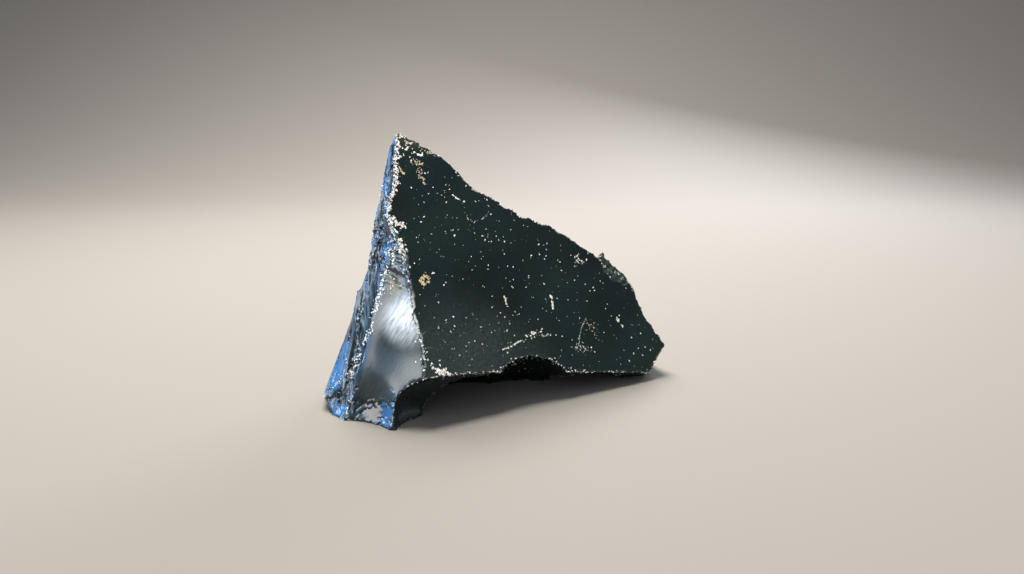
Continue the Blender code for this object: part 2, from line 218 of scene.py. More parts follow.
# The grey face is one smooth scoop, folded at its top. Pairs say where a share is 0 and where it is 1: of how
# squarely a point looks the face's way, of its height, and of its distance.
SOFT_ROUNDS = 150
SOFT_MIDDLE, SOFT_REACH = (-29.0, -24.0, 22.0), 24.0
SOFT_FROM_EDGE = 0.6
SOFT_LOOKS = (0.55, 0.75)
SOFT_HEIGHT = (7.0, 9.0)
SOFT_LOWEST = 9.5
SOFT_ABOVE = (33.2, 0.7)  # over the middle, and its rise towards +X
GREY_EDGE = 1.0
GREY_LOOKS = (0.72, 0.82)
GREY_HEIGHT = (5.5, 7.0)
FOLDS_FROM = (-29.5, -19.5, 43.5)
FOLDS_REACH = 11.0
FOLDS_RUN = (0.80, -0.15, -0.30)
FOLDS = (2.6, 0.9)  # width, depth
FOLDS_LENGTH = 5  # of their width
FOLDS_PATTERN = 3.1

# The groove by the grey face, and the chip at the right with its lip, in the same pairs.
GROOVE_REACH = (4.4, 3.4)
GROOVE_LOOKS = (0.97, 0.93)
# Where the groove's painted shade fades out.
GROOVE_SHADE_REACH = (3.4, 2.4)
CHIP_MIDDLE = (32.0, 12.0, 34.0)
CHIP_REACH = (11.0, 10.0)
CHIP_LOOKS = (0.992, 0.982)
CHIP_BLOW = (29.0, 12.5, 42.0)
BROW_EDGE = 2.0

# Pale crumbs of crushed glass. Each line is (name, its points in the frame, how many crumbs, how far they
# stray from it in the frame, their sizes, how yellow they are).
FRAME = (1024, 574)
CRUMB_LINES = (
    ("peak", ((394, 137), (400, 134), (410, 143), (404, 152)), 40, 2.6, (0.1, 0.34), 0.6),
    ("top of the ridge", ((399, 141), (396, 158), (397, 181), (394, 192)), 120, 1.4, (0.08, 0.3), 0.2),
    ("ridge", ((394, 192), (387, 204), (388, 216), (392, 228), (397, 238), (403, 250)),
     170, 1.7, (0.08, 0.34), 0.3),
    ("knot in the ridge", ((393, 222), (405, 227)), 34, 1.6, (0.15, 0.42), 0.1),
    ("over the grey face", ((388, 256), (397, 247), (405, 258)), 80, 3.6, (0.08, 0.3), 0.5),
    ("left of the grey face", ((387, 267), (378, 298), (371, 329), (358, 355), (350, 378)),
     190, 1.8, (0.07, 0.28), 0.1),
    ("in the grey face", ((388, 285), (396, 292)), 30, 3.0, (0.07, 0.2), 0.9),
    ("edge of the grey face", ((408, 262), (410, 300), (416, 330), (424, 350), (434, 372)),
     46, 0.7, (0.07, 0.25), 0.2),
    ("ridge in the flake", ((345, 352), (347, 366), (340, 380), (329, 392)), 60, 0.4, (0.04, 0.13), 0.0),
    ("foot corner of the dark face", ((434, 367), (441, 373), (448, 374)), 50, 2.0, (0.12, 0.4), 0.1),
    ("lower edge", ((449, 374), (479, 374), (495, 371), (514, 364), (527, 358)), 60, 1.0, (0.08, 0.26), 0.2),
    ("arch", ((527, 357), (548, 359), (566, 370), (590, 373), (625, 372)), 60, 1.2, (0.08, 0.26), 0.2),
    ("crest over the arch", ((502, 350), (512, 346), (522, 340)), 50, 0.4, (0.07, 0.22), 0.2),
    ("crest's end", ((524, 339), (534, 332), (548, 336)), 40, 1.5, (0.07, 0.26), 0.2),
    ("pit", ((422, 277), (427, 277), (429, 282), (425, 285), (421, 282), (422, 277)),
     50, 0.9, (0.12, 0.36), 1.0),
    ("middle chip", ((503, 297), (506, 299), (506, 303), (508, 307)), 14, 0.5, (0.12, 0.36), 0.4),
    ("long chip", ((550, 295), (552, 301), (553, 309)), 18, 0.4, (0.12, 0.34), 0.1),
    ("right chip", ((616, 318), (623, 327)), 12, 0.5, (0.12, 0.36), 0.4),
    ("scratch", ((586, 318), (581, 329), (578, 345)), 46, 0.3, (0.05, 0.12), 0.1),
    ("smudge", ((573, 348), (580, 345), (587, 351)), 60, 2.6, (0.05, 0.16), 0.1),
    ("by the scratch", ((588, 322), (596, 334)), 34, 3.0, (0.05, 0.16), 0.6),
    ("scuff under the brow", ((413, 151), (422, 156)), 14, 0.6, (0.12, 0.38), 0.1),
    ("scuff at the ridge", ((396, 159), (404, 155)), 14, 0.6, (0.08, 0.3), 0.2),
    ("yellow scuff", ((412, 160), (421, 164)), 30, 1.6, (0.08, 0.32), 0.7),
    ("thin scuff", ((399, 167), (405, 176)), 18, 0.5, (0.08, 0.28), 0.8),
    ("yellow smear", ((417, 168), (425, 185)), 44, 1.4, (0.05, 0.2), 0.8),
    ("small streak", ((452, 194), (458, 200)), 10, 0.3, (0.1, 0.25), 0.1),
    ("ring mark", ((488, 212), (482, 220), (474, 222), (466, 216)), 26, 0.6, (0.05, 0.14), 0.1),
    ("right cluster", ((574, 256), (582, 264)), 30, 2.2, (0.06, 0.24), 0.2),
    ("brow", ((420, 149), (434, 155), (449, 160)), 26, 1.0, (0.08, 0.25), 0.7),
    ("top edge", ((455, 164), (501, 200), (552, 227), (597, 256)), 60, 0.7, (0.08, 0.22), 0.3),
    ("right chip's rim", ((597, 257), (606, 268), (620, 275), (633, 288)), 40, 0.7, (0.06, 0.2), 0.2),
)
YELLOW_SPREAD = 0.25
DUST = 760
DUST_SIZE = (0.06, 0.25)
DUST_YELLOW = 0.25
DUST_FACE = ((410, 140), (660, 372))  # the box in the frame that the dark face fills
EDGE_CRUMBS = 900
EDGE_CRUMB_SIZE = (0.07, 0.26)
EDGE_CRUMB_YELLOW = 0.7
EDGE_CRUMB_WORN = 0.6
CRUMB_MARGIN = 0.6 * MM  # from the sides of the solid's box
CRUMB_RISE = 0.075  # how much of its size a crumb's middle lies above the skin
CRUMB_SHAPES, CRUMB_KNOCK = 6, 0.45
CRUMB_STRETCH = ((0.7, 1.9), (0.6, 1.0), (0.4, 0.8))  # along, across and out of the skin
PLACE_SEED, SHAPE_SEED = 11, 12

GLASS_IOR = 1.49
SMOOTH_TO = 30.0
# What the skin's points keep for the glass to read.
MARKS = ("worn", "crest", "rough", "grey", "groove_shade", "brow_reflection", "green")
# Where a Mix node's colours go in and come out.
FACTOR, UNDER, OVER, MIXED = 0, 6, 7, 2

FLOOR_SIDE, FLOOR_BACK, FLOOR_RISE, FLOOR_BEND = 4.0, 0.9, 1.5, 0.5  # metres
BEND_STEPS = 24

# Lights, each (name, place, what it faces, width, height, in metres, watts, colour). The glass mirrors the
# windows, and they leave the floor alone.
ROOM_LIGHTS = (
    ("overhead", (-0.10, 0.20, 0.60), (0.0, 0.0, 0.02), 0.36, 0.36, 4.2, "#fffaf2"),
    ("behind", (0.25, 0.50, 0.30), (0.0, 0.0, 0.03), 0.30, 0.20, 1.2, "#f4f7ff"),
)
WINDOWS = (
    ("blue window", (-0.47, 0.08, 0.15), (0.0, 0.0, 0.03), 0.44, 0.32, 3.2, "#4fa4ff"),
    ("gap in the blue", (-0.44, 0.05, 0.19), (0.0, 0.0, 0.03), 0.05, 0.16, 0.5, "#d6ecff"),
    ("white window", (-0.42, -0.21, 0.21), (0.0, 0.0, 0.03), 0.22, 0.24, 1.5, "#fffbf2"),
    ("front window", (-0.33, -0.36, 0.24), (0.0, 0.0, 0.03), 0.30, 0.26, 0.55, "#a4ccff"),
    ("high window", (0.05, -0.30, 0.55), (0.0, 0.0, 0.03), 0.20, 0.20, 3.4, "#fffdf8"),
)
ROOM_COLOUR, ROOM_STRENGTH = "#b9bfc6", 0.3

CAMERA_AT = (0.0, -228.0, 88.0)
CAMERA_DIP = 14.0
LENS = 28.0
SENSOR = 36.0
NEAREST_SEEN = 0.005


def place(at):
    """Where a point of the tables lies in the end, in metres."""
    return Vector((at[0] - MIDDLE[0], at[1] - MIDDLE[1], at[2])) * MM


def direction(facing, lean):
    """A unit vector facing this way, from +X towards +Y, and looking up by the lean."""
    around, up = radians(facing), radians(lean)
    return Vector((cos(around) * cos(up), sin(around) * cos(up), sin(up)))


def face_plane(name):
    """The way that a named face looks, and its distance from the origin."""
    for face, facing, lean, reach in FACES + SHOULDER_FACES:
        if face == name:
            return direction(facing, lean), reach


def corner(one, other, height):
    """The point at this height where two of the broken faces meet."""
    (a, reach_a), (b, reach_b) = face_plane(one), face_plane(other)
    rest_a, rest_b = reach_a - a.z * height, reach_b - b.z * height
    across = a.x * b.y - a.y * b.x
    return Vector(((rest_a * b.y - rest_b * a.y) / across, (a.x * rest_b - b.x * rest_a) / across, height))


def only(piece):
    """Selects one piece and nothing else."""
    bpy.ops.object.select_all(action="DESELECT")
    piece.select_set(True)
    bpy.context.view_layer.objects.active = piece


def apply(piece, modifier):
    only(piece)
    bpy.ops.object.modifier_apply(modifier=modifier.name)


def strike_block(name, faces, side, middle):
    """A cube standing on the floor, cut back to each of the faces."""
    bpy.ops.object.select_all(action="DESELECT")
    at = place((middle[0], middle[1], side / 2))
    bpy.ops.mesh.primitive_cube_add(size=side * MM, location=at)
    block = bpy.context.object
    block.name = name
    bpy.ops.object.transform_apply(location=True, rotation=True, scale=True)
    bpy.ops.object.mode_set(mode="EDIT")
    for _, facing, lean, reach in faces:
        away = direction(facing, lean)
        bpy.ops.mesh.select_all(action="SELECT")
        bpy.ops.mesh.bisect(
            plane_co=place(away * reach), plane_no=away, use_fill=True, clear_outer=True, threshold=1e-7
        )
    bpy.ops.object.mode_set(mode="OBJECT")
    return block


def ball(name, pole, towards, half_length, half_width, blunt=2.0, reach=None, spacing=5.0, height=0.0):
    """A ball to cut with, ringed from its pole, where the blow fell, as far as its scar reaches."""
    longest = max(half_length, half_width)
    reach = reach or longest * pi / 2
    last = min(reach / longest, MOST_RINGED * pi)
    segments = max(round(2 * pi * half_width * sin(min(last, pi / 2)) / FINE_STEP), FEWEST_SIDES)
    fine_rows = max(round(reach / FINE_STEP), FEWEST_ROWS)
    bpy.ops.object.select_all(action="DESELECT")
    bpy.ops.mesh.primitive_grid_add(x_subdivisions=segments, y_subdivisions=fine_rows + COARSE_ROWS, size=2.0)
    cutter = bpy.context.object
    cutter.name = name
    sheet = np.empty(len(cutter.data.vertices) * 3)
    cutter.data.vertices.foreach_get("co", sheet)
    around = sheet[0::3] * pi
    row = (sheet[1::3] + 1) / 2 * (fine_rows + COARSE_ROWS)
    angle = np.interp(row, (0, fine_rows, fine_rows + COARSE_ROWS), (0, last, pi))
    travelled = angle * longest
    grown = np.where(angle <= last, np.minimum(travelled / spacing, 1.0), 0.0)
    swell = height * grown * np.cos(2 * pi * travelled / spacing)
    across = (half_width + swell) * np.maximum(np.sin(angle), 0.0) ** (2 / blunt)
    ahead = np.sign(np.cos(angle)) * np.abs(np.cos(angle)) ** (2 / blunt)
    along = half_length - (half_length + swell) * ahead
    across[(row == 0) | (row == row.max())] = 0.0
    shaped = np.column_stack((np.cos(around) * across, np.sin(around) * across, along))
    turn = np.array(towards.to_track_quat("Z", "Y").to_matrix())
    placed = (shaped @ turn.T + np.array(pole) - np.array((*MIDDLE, 0.0))) * MM
    cutter.data.vertices.foreach_set("co", placed.ravel())
    bpy.ops.object.mode_set(mode="EDIT")
    bpy.ops.mesh.select_all(action="SELECT")
    bpy.ops.mesh.remove_doubles(threshold=JOIN)
    bpy.ops.mesh.normals_make_consistent(inside=False)
    bpy.ops.object.mode_set(mode="OBJECT")
    return cutter


def hollow(name, pole, facing, rise, half_length, half_width, blunt, spacing, height):
    towards = direction(facing, rise)
    return ball(name, pole, towards, half_length, half_width, blunt, spacing=spacing, height=height)


def dish(name, middle, face, radius, depth, blow, spacing, height):
    """A ball that cuts a dish of this rim radius and depth."""
    middle = Vector(middle)
    if isinstance(face, str):
        away, reach = face_plane(face)
        middle += away * (reach - middle.dot(away))
    else:
        away = direction(*face)
    up = (Vector((0, 0, 1)) - away * away.z).normalized()
    right = up.cross(away)
    rim = right * cos(radians(blow)) + up * sin(radians(blow))
    ball_radius = (radius**2 + depth**2) / (2 * depth)
    centre = middle + away * (ball_radius - depth)
    pole = middle + rim * radius
    reach = 2 * asin(radius / ball_radius) * ball_radius * RINGED
    towards = (centre - pole).normalized()
    return ball(name, pole, towards, ball_radius, ball_radius, reach=reach, spacing=spacing, height=height)


def groove(name, start, end, away, width, depth):
    """A long ball that cuts a groove of this width and depth from start to end into a face."""
    half_width = (width**2 / 4 + depth**2) / (2 * depth)
    run = end - start
    half_length = run.length / 2 / sqrt(1 - ((half_width - depth) / half_width) ** 2)
    centre = (start + end) / 2 + away * (half_width - depth)
    towards = run.normalized()
    return ball(name, centre - towards * half_length, towards, half_length, half_width)


def corner_groove(name, one, other, top, bottom, half_width, off, facing):
    start, end = (corner(one, other, height) + direction(facing, 0) * off for height in (top, bottom))
    return ball(name, start, (end - start).normalized(), (end - start).length / 2, half_width)


def face_place(face, lefts, rights, height, lane):
    """A place on a face at this height, its lane going from 0 at the face's right side to 1 at its left."""
    first = corner(face, rights[0], height)
    left = min((corner(face, side, height) for side in lefts), key=lambda at: (at - first).length)
    right = min((corner(face, side, height) for side in rights), key=lambda at: (at - left).length)
    return right.lerp(left, lane)


def flutes(face, lefts, rights, count, fluted, highest, lowest):
    """Grooves down a face, in lanes from its right side."""
    chance = Random(FLUTE_SEED)
    away, _ = face_plane(face)
    for number in range(count):
        lane = (number % LANES + chance.uniform(*IN_LANE)) / LANES * fluted
        top = highest - (highest - lowest) * number / count + chance.uniform(-TOP_SPREAD, TOP_SPREAD)
        bottom = top - chance.uniform(*FLUTE_LENGTH)
        start = face_place(face, lefts, rights, top, lane)
        end = face_place(face, lefts, rights, bottom, lane + chance.uniform(-DRIFT, DRIFT))
        width, depth = chance.uniform(*FLUTE_WIDTH), chance.uniform(*FLUTE_DEPTH)
        yield groove(f"{face} flute {number}", start, end, away, width, depth)


def work(piece, operation, tool):
    """Cuts a tool out of the piece, or joins it on, and clears the tool away."""
    step = piece.modifiers.new(operation, "BOOLEAN")
    step.operation = operation
    step.solver = "MANIFOLD"
    step.object = tool
    apply(piece, step)
    bpy.data.objects.remove(tool)


def carve_chunk():
    """The chunk cut out of its block, scar by scar."""
    chunk = strike_block("chunk", FACES, BLOCK_SIDE, (0.0, 0.0))
    for values in HOLLOWS:
        work(chunk, "DIFFERENCE", hollow(*values))
    work(chunk, "UNION", strike_block("flake", FLAKE_FACES, FLAKE_SIDE, FLAKE_MIDDLE))
    work(chunk, "UNION", strike_block("lip", LIP_FACES, LIP_SIDE, LIP_MIDDLE))
    for values in DISHES + SLIGHT_DISHES:
        work(chunk, "DIFFERENCE", dish(*values))
    for values in CORNER_GROOVES:
        work(chunk, "DIFFERENCE", corner_groove(*values))
    for values in FLUTED_FACES:
        for flute in flutes(*values):
            work(chunk, "DIFFERENCE", flute)
    work(chunk, "UNION", strike_block("shoulder", SHOULDER_FACES, SHOULDER_SIDE, SHOULDER_MIDDLE))
    for flute in flutes(*FLUTED_SHOULDER):
        work(chunk, "DIFFERENCE", flute)
    return chunk


def even_skin(chunk):
    """Gives the chunk a skin of even small faces, so that it can be broken up finely."""
    step = chunk.modifiers.new("even skin", "REMESH")
    step.mode = "VOXEL"
    step.voxel_size = SKIN * MM
    apply(chunk, step)


def points_of(chunk):
    """The skin's points, in the tables' millimetres."""
    flat = np.empty(len(chunk.data.vertices) * 3)
    chunk.data.vertices.foreach_get("co", flat)
    return flat.reshape(-1, 3) / MM + np.array((*MIDDLE, 0.0))


def normals_of(chunk):
    flat = np.empty(len(chunk.data.vertices) * 3, dtype=np.float32)
    chunk.data.vertex_normals.foreach_get("vector", flat)
    return flat.reshape(-1, 3)


def move_points(chunk, points):
    """Puts the skin's points at these places in the tables' millimetres."""
    chunk.data.vertices.foreach_set("co", ((points - np.array((*MIDDLE, 0.0))) * MM).ravel())
    chunk.data.update()


def press_in(chunk, depth):
    """Moves each point of the skin inwards by its depth."""
    move_points(chunk, points_of(chunk) - normals_of(chunk) * depth[:, None])


def ramp(values, low, high):
    """Each value as a share, 0 at the low end and 1 at the high one."""
    return np.clip((values - low) / (high - low), 0.0, 1.0)


def looking(chunk, face):
    """How squarely each point looks the way of a face, 1 where it does."""
    return normals_of(chunk) @ np.array(face_plane(face)[0])


def distance(points, middle):
    return np.linalg.norm(points - np.array(middle), axis=1)


def depths_below(points):
    """How deep each point lies below each of the broken faces. The shoulder's sides stand in for the rough
    strip where it has grown over that."""
    faces = FACES + SHOULDER_FACES[1:3]
    depths = {name: reach - points @ np.array(direction(facing, lean)) for name, facing, lean, reach in faces}
    shoulder = np.minimum(depths.pop("shoulder"), depths.pop("shoulder foot"))
    strip = depths["rough strip"]
    grown = (strip < 0) & (points[:, 2] > SHOULDER_BOTTOM)
    depths["rough strip"] = np.where(grown, np.maximum(shoulder, strip), strip)
    return depths


def share(depths, names, width):
    """How surely each point belongs to these faces and no other, from 0 to 1."""
    own = np.min([depths[name] for name in names], axis=0)
    rest = np.min([depth for name, depth in depths.items() if name not in names], axis=0)
    return np.clip((rest - own) / width, 0.0, 1.0)


def creases(points, chosen, along, across, length, width, seed):
    """Rounded troughs between sharp crests, drawn out one way. It is 0 on a crest and up to 1 between."""
    depth = np.zeros(len(points))
    lengthwise, crosswise = points @ along / length, points @ across / width
    for at in np.flatnonzero(chosen):
        spot = (crosswise[at], lengthwise[at], seed)
        depth[at] = min(abs(noise.noise(spot, noise_basis="PERLIN_NEW")) * PEAK, 1.0)
    return depth


def outside(depths):
    """Which points are on the flake or the lip, outside the block's own faces."""
    return np.min(list(depths.values()), axis=0) < OUTSIDE


def rough_share(depths):
    """How surely each point is on the rough side. The flake at its foot is nearly smooth."""
    rough = share(depths, ROUGH_FACES, ROUGH_EDGE)
    rough[outside(depths)] *= FLAKE_ROUGH
    return rough


def from_groove(points):
    """How far each point is from the middle of the groove by the grey face."""
    _, one, other, high, low, _, off, facing = CORNER_GROOVES[0]
    start, end = (np.array(corner(one, other, z) + direction(facing, 0) * off) for z in (high, low))
    along = np.clip((points - start) @ (end - start) / np.sum((end - start) ** 2), 0.0, 1.0)
    return np.linalg.norm(points - start - along[:, None] * (end - start), axis=1)


def groove_share(chunk, points):
    """How surely each point is in the groove by the grey face, on the side that looks away from it."""
    return ramp(from_groove(points), *GROOVE_REACH) * ramp(looking(chunk, "grey face"), *GROOVE_LOOKS)


def in_clean_scars(points):
    """How surely each point is in a scar that is too fresh to have worn."""
    inside = np.zeros(len(points))
    for name, middle, _, radius, *_ in DISHES + SLIGHT_DISHES:
        if name in CLEAN_SCARS:
            inside = np.maximum(inside, radius - distance(points, middle))
    return np.clip(inside, 0.0, 1.0)


def green_share(chunk, points):
    """How surely each point is in the chip at the right or on the lip, and not on the dark face."""
    near = ramp(distance(points, CHIP_MIDDLE), *CHIP_REACH)
    return near * ramp(looking(chunk, "dark face"), *CHIP_LOOKS)


def grey_share(chunk, points, depths):
    """How surely each point is in the grey scoop, above the chips at its foot."""
    scoop = ramp(looking(chunk, "grey face"), *GREY_LOOKS) * ramp(points[:, 2], *GREY_HEIGHT)
    near = distance(points, SOFT_MIDDLE) < SOFT_REACH
    return scoop * near * (1 - share(depths, ROUGH_FACES, GREY_EDGE))


def up_the_strip():
    """The way that the rough side runs, from its foot to the peak."""
    top, foot = (corner("rough strip", "dark face", height) for height in STRIP_HEIGHTS)
    return (top - foot).normalized()


def splinter(chunk):
    """Breaks up the rough side lengthwise, as glass splinters along a blow's path, and says how near each
    point is to the crest between two splinters, from 0 to 1."""
    points = points_of(chunk)
    depths = depths_below(points)
    rough = rough_share(depths) * np.clip(depths["left"] / LEFT_FADE, LEFT_ROUGH, 1.0)
    rough = np.maximum(rough, LEFT_ROUGH * share(depths, ("left",), ROUGH_EDGE))
    rough = np.maximum(rough, groove_share(chunk, points))
    rough[outside(depths)] = 0.0
    along = up_the_strip()
    across = np.array(face_plane("rough strip")[0].cross(along))
    depth = np.zeros(len(points))
    crest = np.zeros(len(points))
    for number, (length, width, deep) in enumerate(SPLINTERS):
        pattern = number * SPLINTER_SHIFT
        line = creases(points, rough > 0, np.array(along), across, length, width, pattern)
        depth += deep * line
        crest = np.maximum(crest, rough * np.clip(1 - line / CREST, 0.0, 1.0))
    press_in(chunk, depth * rough)
    return crest


def neighbours_mean(chunk, values):
    """Each value made the mean of the values next to it on the skin."""
    pairs = np.empty(len(chunk.data.edges) * 2, dtype=np.int32)
    chunk.data.edges.foreach_get("vertices", pairs)
    pairs = pairs.reshape(-1, 2)
    count = np.bincount(pairs.ravel(), minlength=len(values))
    columns = values.reshape(len(values), -1)
    means = []
    for column in columns.T:
        total = np.bincount(pairs[:, 0], column[pairs[:, 1]], len(values))
        total += np.bincount(pairs[:, 1], column[pairs[:, 0]], len(values))
        means.append(total / np.maximum(count, 1))
    return np.column_stack(means).reshape(values.shape)


def soften(chunk):
    """Smooths the grey face's scars into one scoop, short of its edges and of the chips at its foot."""
    points = points_of(chunk)
    depths = depths_below(points)
    from_edge, tall = depths["dark face"], points[:, 2]
    edge = worn_edges(chunk)
    height, rise = SOFT_ABOVE
    high = tall > np.maximum(SOFT_LOWEST, height + rise * points[:, 0])
    edge[(from_edge > SOFT_FROM_EDGE) & high] = 0.0
    soft = ramp(looking(chunk, "grey face"), *SOFT_LOOKS) * (1 - share(depths, ROUGH_FACES, GREY_EDGE))
    soft *= (1 - edge) * ramp(from_edge, 0.0, SOFT_FROM_EDGE) * ramp(tall, *SOFT_HEIGHT)
    soft = (soft * (distance(points, SOFT_MIDDLE) < SOFT_REACH))[:, None]
    for _ in range(SOFT_ROUNDS):
        points += soft * (neighbours_mean(chunk, points) - points)
    move_points(chunk, points)


def worn_edges(chunk):
    """How sharp an outward edge each point is on, from 0 to 1."""
    points = points_of(chunk)
    hollow_by = np.einsum("ij,ij->i", neighbours_mean(chunk, points) - points, normals_of(chunk))
    edge = np.clip(-hollow_by / TIGHT, 0.0, 1.0)
    for _ in range(WEAR_SPREAD):
        edge = np.maximum(edge, neighbours_mean(chunk, edge))
    return edge


def wear_edges(chunk):
    """Nibbles at the sharp edges, which are where glass crushes first."""
    points, edge = points_of(chunk), worn_edges(chunk)
    depth = np.zeros(len(points))
    for at in np.flatnonzero(edge > LEAST_WORN):
        for number, (size, deep) in enumerate(BITES):
            spot = Vector(points[at]) / size + Vector((0, 0, BITE_SHIFT * number))
            bite = noise.noise(spot, noise_basis="PERLIN_NEW") + BITE_LEVEL
            depth[at] += deep * BITE_GAIN * max(bite, 0.0)
    press_in(chunk, depth * edge)
    return edge


def dark_waves(points, depths):
    """How deep the dark face's slight waves are at each point."""
    depth = np.zeros(len(points))
    dark = share(depths, ("dark face",), DARK_EDGE)
    length, deep = WAVE
    for at in np.flatnonzero(dark > 0):
        swell = noise.noise(Vector(points[at]) / length, noise_basis="PERLIN_NEW")
        depth[at] = dark[at] * deep * (swell + WAVE_LEVEL)
    return depth


def grey_folds(points, depths):
    """How deep the folds at the top of the grey face are at each point."""
    grey = share(depths, ("grey face",), GREY_EDGE)
    folded = grey * ramp(distance(points, FOLDS_FROM), FOLDS_REACH, FOLDS_REACH / 3)
    away = face_plane("grey face")[0]
    down = away.cross(Vector(FOLDS_RUN)).normalized()
    side = np.array(down.cross(away))
    width, deep = FOLDS
    length = FOLDS_LENGTH * width
    line = creases(points, folded > 0, side, np.array(down), length, width, FOLDS_PATTERN)
    return deep * folded * line


def wave_faces(chunk):
    points = points_of(chunk)
    depths = depths_below(points)
    press_in(chunk, dark_waves(points, depths) + grey_folds(points, depths))


def keep(chunk, name, values):
    """Stores a value at each point of the skin, for the material to read."""
    kept = chunk.data.attributes.new(name, "FLOAT", "POINT")
    kept.data.foreach_set("value", values.astype(np.float32))


def thin_skin(chunk):
    """Thins the skin's faces where it is flat."""
    triangles = sum(len(face.vertices) - 2 for face in chunk.data.polygons)
    step = chunk.modifiers.new("thin skin", "DECIMATE")
    step.ratio = min(MOST_TRIANGLES / triangles, 1.0)
    apply(chunk, step)


def linear(code):
    """A colour written as sRGB hex, made linear."""
    values = [int(code[at : at + 2], 16) / 255 for at in (1, 3, 5)]
    return (*[v / 12.92 if v <= 0.04045 else ((v + 0.055) / 1.055) ** 2.4 for v in values], 1.0)


def add(tree, kind, inputs=None, out=0, **settings):
    """Adds a node with its settings, and with its inputs set to values or linked to sockets. It gives one of
    the node's outputs."""
    made = tree.nodes.new("ShaderNode" + kind)
    for name, value in settings.items():
        setattr(made, name, value)
    for name, value in (inputs or {}).items():
        if isinstance(value, bpy.types.NodeSocket):
            tree.links.new(value, made.inputs[name])
        else:
            made.inputs[name].default_value = value
    return made.outputs[out]


def per(size):
    """The scale of a pattern whose features are this many millimetres across."""
    return 1 / (size * MM)


def axes(along, away):
    """The turn to axes that run along a line of a face, across it and out of it."""
    across = away.cross(along).normalized()
    return Matrix((along, across, along.cross(across))).transposed().to_euler()


def patch(tree, at, middle, far, near, most, least=0.0):
    """A share that rises towards a point of the tables, between two distances in millimetres."""
    away = add(tree, "VectorMath", {0: at, 1: place(middle)}, "Value", operation="DISTANCE")
    sides = {"Value": away, "From Min": far * MM, "From Max": near * MM, "To Min": least, "To Max": most}
    return add(tree, "MapRange", sides, interpolation_type="SMOOTHSTEP")


def clouds(tree, at):
    """The glass clouds a little every few centimetres."""
    cloud = add(tree, "TexNoise", {"Vector": at, "Scale": per(26.0), "Detail": 2.0})
    return add(tree, "MapRange", {"Value": cloud, "From Min": 0.35, "From Max": 0.65})


def navy_patches(tree, at):
    """The glass turns navy in patches a centimetre across."""
    cloud = add(tree, "TexNoise", {"Vector": at, "Scale": per(11.0), "Detail": 4.0})
    sides = {"Value": cloud, "From Min": 0.40, "From Max": 0.70, "To Max": 0.4}
    return add(tree, "MapRange", sides, interpolation_type="SMOOTHSTEP")


def green_arcs(tree, at, green):
    """The thin glass of the chip at the right lets green light through, in arcs round the blow."""
    sides = {"Vector": at, "Location": place(CHIP_BLOW), "Scale": Vector((1.0, 1.0, 1.0)) * MM}
    arcs_at = add(tree, "Mapping", sides, vector_type="TEXTURE")
    # This scale gives an arc every 2 mm.
    sides = {"Vector": arcs_at, "Scale": 0.16, "Distortion": 1.2, "Detail": 1.0}
    arcs = add(tree, "TexWave", sides, "Fac", wave_type="RINGS", rings_direction="SPHERICAL")
    sides = {"Value": arcs, "From Min": 0.2, "From Max": 1.0, "To Min": 0.25, "To Max": 1.0}
    arcs = add(tree, "MapRange", sides)
    return add(tree, "Math", {0: green, 1: arcs}, operation="MULTIPLY")


def dust_and_sheen_film(tree, at, grain):
    """A thin pale film, partly dust and partly painted sheen, thickest low on the left of the dark face and
    over the arch.
    """
    low_left = patch(tree, at, (-16.0, -24.0, 16.0), 26.0, 4.0, 0.14, 0.02)
    by_arch = patch(tree, at, (-1.7, -17.7, 12.0), 20.0, 10.0, 0.06)
    film = add(tree, "Math", {0: low_left, 1: by_arch}, operation="ADD")
    return add(tree, "Math", {0: film, 1: grain}, operation="MULTIPLY")


def hairlines(tree, at):
    """The scoop's slanting hairlines, finer in the stone than the 0.6 mm that they are drawn at."""
    turn = axes(Vector((0.55, 0.0, 0.83)).normalized(), face_plane("grey face")[0])
    sides = {"Vector": at, "Rotation": turn, "Scale": Vector((3.6, 0.6, 0.6)) * MM}
    line_at = add(tree, "Mapping", sides, vector_type="TEXTURE")
    return add(tree, "TexNoise", {"Vector": line_at, "Scale": 1.0, "Detail": 4.0})


def painted_satin_sheen(tree, line, grey):
    """A faint pale sheen painted on the scoop, along its hairlines."""
    sides = {"Value": line, "From Min": 0.25, "From Max": 0.75, "To Max": 0.04}
    sheen_share = add(tree, "MapRange", sides)
    return add(tree, "Math", {0: grey, 1: sheen_share}, operation="MULTIPLY")


def frosting_and_painted_highlight(tree, at, line, grey):
    """The scoop's frosted patch, which fades out over its length. Its pale colour is also a painted
    highlight, where the glass would catch the light.
    """
    frost_and_highlight = patch(tree, at, (-28.9, -24.0, 28.5), 9.5, 1.5, 1.0)
    sides = {"Value": line, "From Min": 0.15, "From Max": 0.6, "To Max": 0.85}
    streaks = add(tree, "MapRange", sides)
    frost_and_highlight = add(tree, "Math", {0: frost_and_highlight, 1: streaks}, operation="MULTIPLY")
    return add(tree, "Math", {0: frost_and_highlight, 1: grey}, operation="MULTIPLY")


def earth_smudge(tree, at, grain):
    """A smudge of yellow-brown earth high in the scoop."""
    earth = patch(tree, at, (-31.5, -20.3, 36.5), 4.6, 1.0, 1.2)
    return add(tree, "Math", {0: earth, 1: grain}, operation="MULTIPLY")


def strip_fibres(tree, at):
    """The rough side's fibres, which run down it, 0.75 mm apart and 7 mm long."""
    turn = axes(-up_the_strip(), face_plane("rough strip")[0])
    sides = {"Vector": at, "Rotation": turn, "Scale": Vector((7.0, 0.75, 0.75)) * MM}
    fibre_at = add(tree, "Mapping", sides, vector_type="TEXTURE")
    return add(tree, "TexNoise", {"Vector": fibre_at, "Scale": 1.0, "Detail": 3.0})


def crushed_crests_and_painted_glints(tree, fibre, crest):
    """The splinters' crests are crushed pale, and their pale blue is also a painted glint of the blue light.
    """
    sides = {"Value": fibre, "From Min": 0.44, "From Max": 0.60, "To Max": 0.55}
    crushed = add(tree, "MapRange", sides, interpolation_type="SMOOTHSTEP")
    return add(tree, "Math", {0: crest, 1: crushed}, operation="MULTIPLY")


